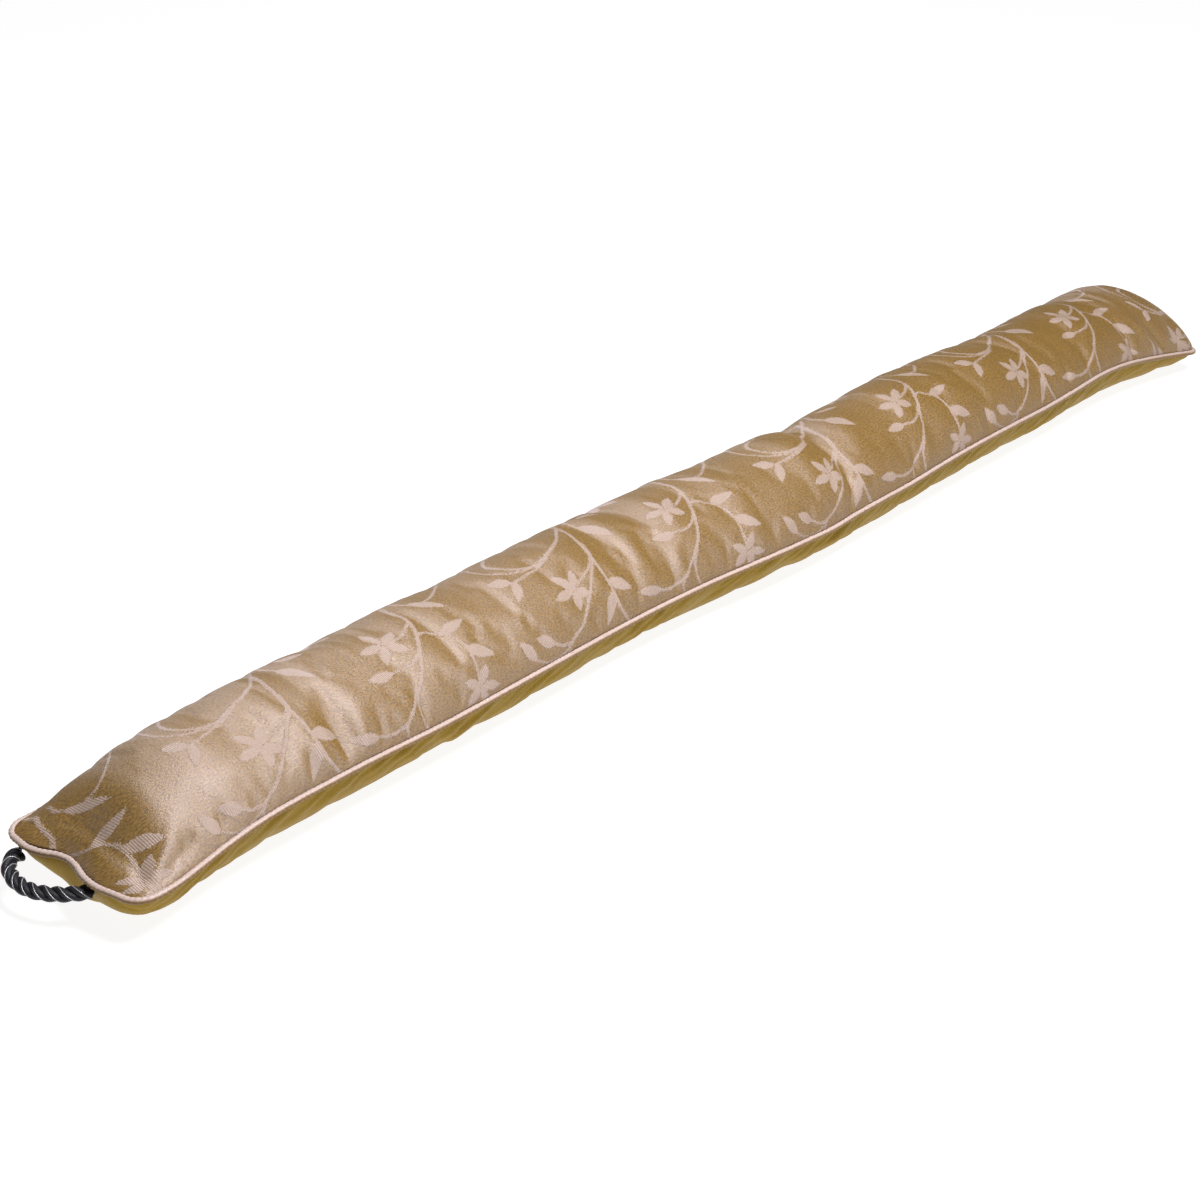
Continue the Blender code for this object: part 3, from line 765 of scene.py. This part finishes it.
def make_floor():
    """A plain white floor."""
    s = Shader("floor")
    s.set(Base_Color=FLOOR_GREY, Roughness=0.9, Specular_IOR_Level=0.1)
    s.set(Emission_Color=WHITE, Emission_Strength=FLOOR_GLOW)
    reach = FLOOR_REACH
    corners = np.array([(-reach, -reach, 0), (reach, -reach, 0), (reach, reach, 0), (-reach, reach, 0)])
    floor = new_object("floor", new_mesh("floor", corners, [(0, 1, 2, 3)]), s.material)


class Shader:
    """A material's node tree, with short calls for the nodes that cloth needs."""

    def __init__(self, name):
        self.material = bpy.data.materials.new(name)
        self.material.use_nodes = True
        self.tree = self.material.node_tree
        self.principled = self.tree.nodes["Principled BSDF"]

    def link(self, value, socket):
        """Joins an output to a socket, or sets a plain value on it."""
        if isinstance(value, bpy.types.NodeSocket):
            self.tree.links.new(value, socket)
        else:
            socket.default_value = value

    def math(self, operation, first, second):
        node = self.tree.nodes.new("ShaderNodeMath")
        node.operation = operation
        self.link(first, node.inputs[0])
        self.link(second, node.inputs[1])
        return node.outputs[0]

    def add(self, first, second):
        return self.math("ADD", first, second)

    def times(self, first, second):
        return self.math("MULTIPLY", first, second)

    def ramp(self, value, low, high, to_low=0.0, to_high=1.0):
        """A smooth step of the value from low to high."""
        node = self.tree.nodes.new("ShaderNodeMapRange")
        node.interpolation_type = "SMOOTHSTEP"
        for number, socket in zip((low, high, to_low, to_high), node.inputs[1:5]):
            socket.default_value = number
        self.link(value, node.inputs[0])
        return node.outputs[0]

    def mix(self, share, first, second):
        """A colour between first and second."""
        node = self.tree.nodes.new("ShaderNodeMix")
        node.data_type = "RGBA"
        self.link(share, node.inputs[0])
        self.link(first, node.inputs[6])
        self.link(second, node.inputs[7])
        return node.outputs[2]

    def attribute(self, name):
        node = self.tree.nodes.new("ShaderNodeAttribute")
        node.attribute_name = name
        return node.outputs["Fac"]

    def stretched(self, place, stretch):
        """A place times a stretch along each way."""
        node = self.tree.nodes.new("ShaderNodeMapping")
        node.inputs["Scale"].default_value = stretch
        self.link(place, node.inputs["Vector"])
        return node.outputs[0]

    def cloth_place(self, stretch=(1, 1, 1)):
        """The place on the flat cloth, in metres."""
        node = self.tree.nodes.new("ShaderNodeUVMap")
        node.uv_map = "cloth"
        return self.stretched(node.outputs[0], stretch)

    def object_place(self, stretch=(1, 1, 1)):
        """The place in the object's own space, in metres."""
        node = self.tree.nodes.new("ShaderNodeTexCoord")
        return self.stretched(node.outputs["Object"], stretch)

    def noise(self, place, scale, detail=2.0, roughness=0.5):
        node = self.tree.nodes.new("ShaderNodeTexNoise")
        self.link(place, node.inputs["Vector"])
        node.inputs["Scale"].default_value = scale
        node.inputs["Detail"].default_value = detail
        node.inputs["Roughness"].default_value = roughness
        return node.outputs[0]

    def waves(self, place, scale, direction, distortion):
        """Stripes across a direction of the place."""
        node = self.tree.nodes.new("ShaderNodeTexWave")
        node.bands_direction = direction
        self.link(place, node.inputs["Vector"])
        node.inputs["Scale"].default_value = scale
        node.inputs["Distortion"].default_value = distortion
        node.inputs["Detail"].default_value = 1.0
        return node.outputs["Fac"]

    def bump(self, height, depth):
        """A normal raised by a height from 0 to 1, times a depth in metres."""
        node = self.tree.nodes.new("ShaderNodeBump")
        node.inputs["Strength"].default_value = 1.0
        node.inputs["Distance"].default_value = depth
        self.link(height, node.inputs["Height"])
        return node.outputs[0]

    def set(self, **values):
        """Sets sockets of the Principled shader, each named with _ for a space."""
        for name, value in values.items():
            self.link(value, self.principled.inputs[name.replace("_", " ")])

    def satin_direction(self):
        """Turns the satin's gloss so that it stretches across the cushion."""
        node = self.tree.nodes.new("ShaderNodeTangent")
        node.direction_type = "UV_MAP"
        node.uv_map = "cloth"
        self.link(node.outputs[0], self.principled.inputs["Tangent"])


def figured_satin():
    """The jacquard: a gold satin ground and a paler, duller figure with fine ribs."""
    s = Shader("figured_satin")
    place = s.cloth_place()
    ragged = s.math("SUBTRACT", s.noise(place, scale=1000.0, detail=1.0), 0.5)
    distance = s.add(s.attribute("figure"), s.times(ragged, FIGURE_RAGGEDNESS))
    figure = s.ramp(distance, -FIGURE_EDGE, FIGURE_EDGE, to_low=1.0, to_high=0.0)
    grain = s.noise(s.cloth_place((1.0, 1.4, 1.0)), scale=700.0, detail=3.0, roughness=0.8)
    mottle = s.noise(place, scale=60.0)
    ribs = s.waves(place, scale=330.0, direction="X", distortion=0.4)
    ground = s.mix(s.ramp(grain, 0.36, 0.64), SATIN_GROUND_DARK, SATIN_GROUND)
    pale = s.mix(s.ramp(ribs, 0.2, 0.8, to_high=0.65), FIGURE_PINK, FIGURE_RIB)
    pale = s.mix(s.ramp(grain, 0.36, 0.60, to_low=0.50, to_high=0.0), pale, FIGURE_RIB)
    s.set(Base_Color=s.mix(figure, ground, pale))
    gloss = s.ramp(mottle, 0.3, 0.7, to_low=0.53, to_high=0.58)
    s.set(Roughness=s.add(gloss, s.times(figure, FIGURE_DULLNESS)))
    s.set(IOR=1.85, Specular_IOR_Level=0.85, Specular_Tint=GLOSS_TINT)
    s.set(Anisotropic=0.70, Anisotropic_Rotation=0.25)
    s.set(Sheen_Weight=0.03, Sheen_Roughness=0.35, Sheen_Tint=GLOSS_TINT)
    s.satin_direction()
    raised = s.add(s.times(figure, FIGURE_RELIEF), s.times(grain, GRAIN_RELIEF))
    raised = s.add(raised, s.times(s.times(ribs, figure), RIB_RELIEF))
    s.set(Normal=s.bump(raised, SATIN_RELIEF_DEPTH))
    return s.material


def plain_satin():
    """The plain olive-gold cloth of the underside."""
    s = Shader("plain_satin")
    grain = s.noise(s.object_place((1.0, 2.5, 2.5)), scale=900.0, detail=3.0, roughness=0.7)
    mottle = s.noise(s.object_place(), scale=45.0)
    s.set(Base_Color=s.mix(s.ramp(grain, 0.35, 0.65), PLAIN_OLIVE_DARK, PLAIN_OLIVE))
    s.set(Roughness=s.ramp(mottle, 0.3, 0.7, to_low=0.44, to_high=0.52))
    s.set(IOR=1.45, Specular_IOR_Level=0.12)
    s.set(Normal=s.bump(grain, CLOTH_RELIEF_DEPTH))
    return s.material


def piping_satin():
    """Pale pink satin pulled tight over a cord, with painted shade that turns it brown on its lower side.
    """
    s = Shader("piping_satin")
    grain = s.noise(s.object_place(), scale=700.0, detail=2.0, roughness=0.6)
    upper = s.add(s.attribute("upper"), s.times(grain, 0.5))
    # Painted shade: where the ring faces down, the piping's colour goes to the brown shade colour
    s.set(Base_Color=s.mix(s.ramp(upper, 0.42, 1.05), PIPING_SHADE, PIPING_PINK))
    s.set(Roughness=s.ramp(grain, 0.3, 0.7, to_low=0.34, to_high=0.42))
    s.set(IOR=1.5, Specular_IOR_Level=0.3, Specular_Tint=GLOSS_TINT)
    s.set(Normal=s.bump(grain, CLOTH_RELIEF_DEPTH))
    return s.material


def rope_yarn():
    """Black yarn with a soft shine."""
    s = Shader("rope_yarn")
    fibres = s.noise(s.object_place(), scale=1500.0, detail=3.0, roughness=0.7)
    # Painted sheen: random fibres are mixed toward a lighter black
    s.set(Base_Color=s.mix(s.ramp(fibres, 0.3, 0.7), ROPE_BLACK, ROPE_BLACK_PAINTED_SHEEN))
    s.set(Roughness=s.ramp(fibres, 0.3, 0.7, to_low=0.45, to_high=0.60))
    s.set(Specular_IOR_Level=0.30)
    s.set(Normal=s.bump(fibres, YARN_RELIEF_DEPTH))
    return s.material


def silver_thread():
    """The thin silver-grey thread along each strand."""
    s = Shader("silver_thread")
    glint = s.noise(s.object_place(), scale=2200.0, detail=1.0)
    s.set(Base_Color=s.mix(glint, SILVER_THREAD, SILVER_GLINT))
    s.set(Roughness=s.ramp(glint, 0.3, 0.7, to_low=0.28, to_high=0.45))
    s.set(Metallic=0.4)
    return s.material


def placed_piece(obj, slot, *nodes):
    """Rides the piece on the frame, in place of its solids."""
    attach(obj, "root")
    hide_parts(*nodes)


def make_cushion(top, under):
    """The filled body, of every second row. Only its underside shows, below the figured panel."""
    mesh, _ = closed_mesh("cushion", top[::2], under[::2])
    cushion = new_object("cushion_cloth", mesh, plain_satin())
    placed_piece(cushion, "plain_cloth", "cushion")


def cloth_coordinates(top):
    """Each point's place on the flat cloth: along the cushion, and up from the front seam."""
    up = arc_lengths(top)
    s = up + CLOTH_CROWN_SHIFT * np.sin(math.pi * up / up[:, -1:])
    x = top[..., 0] - PLACE[0]
    skew = np.interp(x, *zip(*CLOTH_SKEW))
    gather = np.clip((x - CLOTH_GATHER_FROM) / CLOTH_GATHER_OVER, 0, 1)
    gather = CLOTH_GATHERED * gather**2 * (3 - 2 * gather)
    return x + skew * s + gather, s + gather


def distance_to_line(x, s, points):
    """How far each place is from a line through the points."""
    nearest = np.full(x.shape, np.inf)
    for (ax, a_s), (bx, b_s) in zip(points[:-1], points[1:]):
        dx, ds = bx - ax, b_s - a_s
        share = np.clip(((x - ax) * dx + (s - a_s) * ds) / (dx * dx + ds * ds), 0, 1)
        nearest = np.minimum(nearest, np.hypot(x - ax - share * dx, s - a_s - share * ds))
    return nearest


def smooth_line(points, parts=4):
    """A smooth curve through the points, with this many parts between each two."""
    points = np.array(points, float)
    reach = np.concatenate([[0], np.cumsum(np.linalg.norm(np.diff(points, axis=0), axis=1))])
    places = np.linspace(0, reach[-1], parts * (len(points) - 1) + 1)
    return np.stack([smooth_values(places, reach, column) for column in points.T], axis=-1)


def distance_to_leaf(x, s, leaf, widest):
    """How far each place is outside a pointed leaf that is widest at this share of its length."""
    dx, ds = leaf.tip_x - leaf.x, leaf.tip_s - leaf.s
    length = math.hypot(dx, ds)
    share = ((x - leaf.x) * dx + (s - leaf.s) * ds) / length**2
    side = abs((x - leaf.x) * ds - (s - leaf.s) * dx) / length
    within = np.clip(share, 0, 1)
    bend = math.log(0.5) / math.log(widest)
    width = LEAF_FULLNESS * leaf.width / 2 * np.sin(math.pi * within**bend) ** LEAF_ROUNDING
    return np.hypot(side, (share - within) * length) - width


def distance_to_chart(x, s):
    """How far each place is outside the stems, leaves and petals of one repeat."""
    found = np.full(x.shape, FAR_OUTSIDE)
    for stem in STEMS:
        middle = distance_to_line(x, s, smooth_line(stem.points))
        found = np.minimum(found, middle - STEM_FULLNESS * stem.width / 2)
    for leaf in LEAVES:
        found = np.minimum(found, distance_to_leaf(x, s, leaf, LEAF_WIDEST))
    for flower in FLOWERS:
        for petal in flower.petals:
            leaf = Leaf(flower.x, flower.s, *petal)
            found = np.minimum(found, distance_to_leaf(x, s, leaf, PETAL_WIDEST))
    return found


def figure_distance(x, s):
    """How far each place of the flat cloth is outside the vine, in millimetres."""
    found = np.full(x.shape, FAR_OUTSIDE)
    for repeat in REPEATS:
        at = x - repeat * REPEAT
        rows = np.flatnonzero(((at > CHART_START) & (at < CHART_END)).any(axis=1))
        if len(rows):
            near = slice(rows[0], rows[-1] + 1)
            found[near] = np.minimum(found[near], distance_to_chart(at[near], s[near]))
    return found


def add_cloth_places(mesh, x, s):
    """Keeps each point's place on the flat cloth, and how far it is outside the vine, on the mesh."""
    figure = mesh.attributes.new("figure", "FLOAT", "POINT")
    figure.data.foreach_set("value", figure_distance(x * 1000, s * 1000).astype(np.float32).ravel())
    places = np.stack([x, s], axis=-1).reshape(-1, 2)
    corners = np.empty(len(mesh.loops), np.int32)
    mesh.loops.foreach_get("vertex_index", corners)
    layer = mesh.uv_layers.new(name="cloth")
    layer.data.foreach_set("uv", places[corners].astype(np.float32).ravel())


def make_top_panel(top):
    """The figured cloth over the crown, an open sheet thickened inward."""
    inner = (slice(1, -1), slice(1, -1))
    grid = (top + normals_of(top) * (PANEL_LIFT + PANEL_THICKNESS))[inner]
    x, s = cloth_coordinates(top)
    rows, steps = grid.shape[:2]
    faces = grid_faces(rows, steps, lambda row, step: row * steps + step, False)
    mesh = new_mesh("figured_panel", grid.reshape(-1, 3), faces.tolist())
    add_cloth_places(mesh, x[inner], s[inner])
    panel = new_object("figured_panel", mesh, figured_satin())
    solid = panel.modifiers.new("thickness", "SOLIDIFY")
    solid.thickness = PANEL_THICKNESS
    solid.offset = -1
    solid.use_rim_only = True
    placed_piece(panel, "figured_cloth", "top_panel")


def tube_mesh(name, centres, normals, radii, closed):
    """A tube round the centres, a ring or with flat ends; radii holds a row of radii for each centre."""
    count, sides = radii.shape
    tangent = np.roll(centres, -1, axis=0) - np.roll(centres, 1, axis=0)
    if not closed:
        tangent = np.gradient(centres, axis=0)
    tangent /= np.linalg.norm(tangent, axis=1)[:, None]
    side = np.cross(tangent, normals)
    side /= np.linalg.norm(side, axis=1)[:, None]
    up = np.cross(side, tangent)
    turn = np.arange(sides) * 2 * math.pi / sides
    ring = up[:, None] * np.cos(turn)[None, :, None] + side[:, None] * np.sin(turn)[None, :, None]
    points = (centres[:, None] + ring * radii[..., None]).reshape(-1, 3)
    rows = count if closed else count - 1
    row, step = np.meshgrid(np.arange(rows), np.arange(sides), indexing="ij")
    here, there = row * sides, (row + 1) % count * sides
    next_step = (step + 1) % sides
    quads = [here + step, here + next_step, there + next_step, there + step]
    faces = np.stack(quads, axis=-1).reshape(-1, 4).tolist()
    if not closed:
        last = rows * sides
        faces += [list(range(sides)), list(range(last, last + sides))[::-1]]
    return new_mesh(name, points, faces)


def even_steps(line, step, closed):
    """Points at even steps along a line."""
    if closed:
        line = np.concatenate([line, line[:1]])
    reach = np.concatenate([[0], np.cumsum(np.linalg.norm(np.diff(line, axis=0), axis=1))])
    count = round(reach[-1] / step)
    places = np.linspace(0, reach[-1], count + 1)
    if closed:
        places = places[:-1]
    return np.stack([np.interp(places, reach, column) for column in line.T], axis=-1), places


def make_piping(loop):
    """The covered cord in the seam, its satin pulled into fine slanting ridges."""
    centres, places = even_steps(loop, PIPING_STEP, True)
    turn = np.arange(PIPING_SIDES) * 2 * math.pi / PIPING_SIDES
    ridges = np.sin(2 * math.pi * places[:, None] / PIPING_RIDGES + turn[None])
    uneven = sum(np.sin(2 * math.pi * places / wave) for wave in PIPING_WAVES)
    share = PIPING_BODY_SHARE + PIPING_RIDGE_SHARE * ridges + PIPING_WAVE_SHARE * uneven[:, None]
    normals = np.tile([0.0, 0.0, 1.0], (len(centres), 1))
    mesh = tube_mesh("piping_cord", centres, normals, PIPING_RADIUS * share, True)
    # How far each ring point faces up, which sets where the painted shade darkens the piping's lower side
    upper = mesh.attributes.new("upper", "FLOAT", "POINT")
    upper.data.foreach_set("value", np.tile(np.cos(turn), len(centres)).astype(np.float32))
    piping = new_object("piping_cord", mesh, piping_satin())
    placed_piece(piping, "piping_cloth", "piping")


def carried_frames(centres):
    """A normal for each point of a line, turned as little as possible from one to the next."""
    tangents = np.gradient(centres, axis=0)
    tangents /= np.linalg.norm(tangents, axis=1)[:, None]
    normals = [np.cross(tangents[0], [0.0, 0.0, 1.0])]
    for tangent in tangents[1:]:
        normals.append(normals[-1] - tangent * (normals[-1] @ tangent))
    normals = np.array(normals)
    return normals / np.linalg.norm(normals, axis=1)[:, None], tangents


def joined(name, meshes, material):
    """One object of several meshes."""
    points, faces, first = [], [], 0
    for mesh in meshes:
        points += [tuple(v.co) for v in mesh.vertices]
        faces += [[first + v for v in polygon.vertices] for polygon in mesh.polygons]
        first += len(mesh.vertices)
    return new_object(name, new_mesh(name, np.array(points), faces), material)


def round_tube(name, centres, normals, radius, sides):
    """A tube of one radius with flat ends."""
    return tube_mesh(name, centres, normals, np.full((len(centres), sides), radius), False)


def make_rope():
    """The rope handle: three strands laid round each other, each with a thin silver thread."""
    route = smooth_line(HANDLE_ROUTE, parts=12) + PLACE
    centres, places = even_steps(route, ROPE_STEP, False)
    normals, tangents = carried_frames(centres)
    sides = np.cross(tangents, normals)
    strands, threads = [], []
    for strand in range(ROPE_STRANDS):
        turn = 2 * math.pi * (places / ROPE_LAY + strand / ROPE_STRANDS)
        outward = normals * np.cos(turn)[:, None] + sides * np.sin(turn)[:, None]
        strand_line = centres + outward * (ROPE_RADIUS - STRAND_RADIUS)
        thread_line = centres + outward * (ROPE_RADIUS - THREAD_SUNK)
        strands.append(round_tube("strand", strand_line, outward, STRAND_RADIUS, STRAND_SIDES))
        threads.append(round_tube("thread", thread_line, outward, THREAD_RADIUS, THREAD_SIDES))
    rope = joined("handle_rope", strands, rope_yarn())
    thread = joined("handle_threads", threads, silver_thread())
    placed_piece(rope, "rope", "rope_handle")
    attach(thread, "root")


def main():
    bpy.context.scene.view_settings.view_transform = "Standard"
    make_camera()
    make_lights()
    make_floor()
    top, under = filled_sides()
    make_cushion(top, under)
    make_top_panel(top)
    make_piping(seam_loop(top))
    make_rope()


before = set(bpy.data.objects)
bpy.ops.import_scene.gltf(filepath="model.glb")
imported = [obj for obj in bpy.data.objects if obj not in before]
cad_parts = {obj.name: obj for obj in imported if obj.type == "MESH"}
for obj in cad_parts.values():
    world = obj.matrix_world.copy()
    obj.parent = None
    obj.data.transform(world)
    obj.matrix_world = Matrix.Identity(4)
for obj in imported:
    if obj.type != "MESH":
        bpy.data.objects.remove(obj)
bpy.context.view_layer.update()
main()
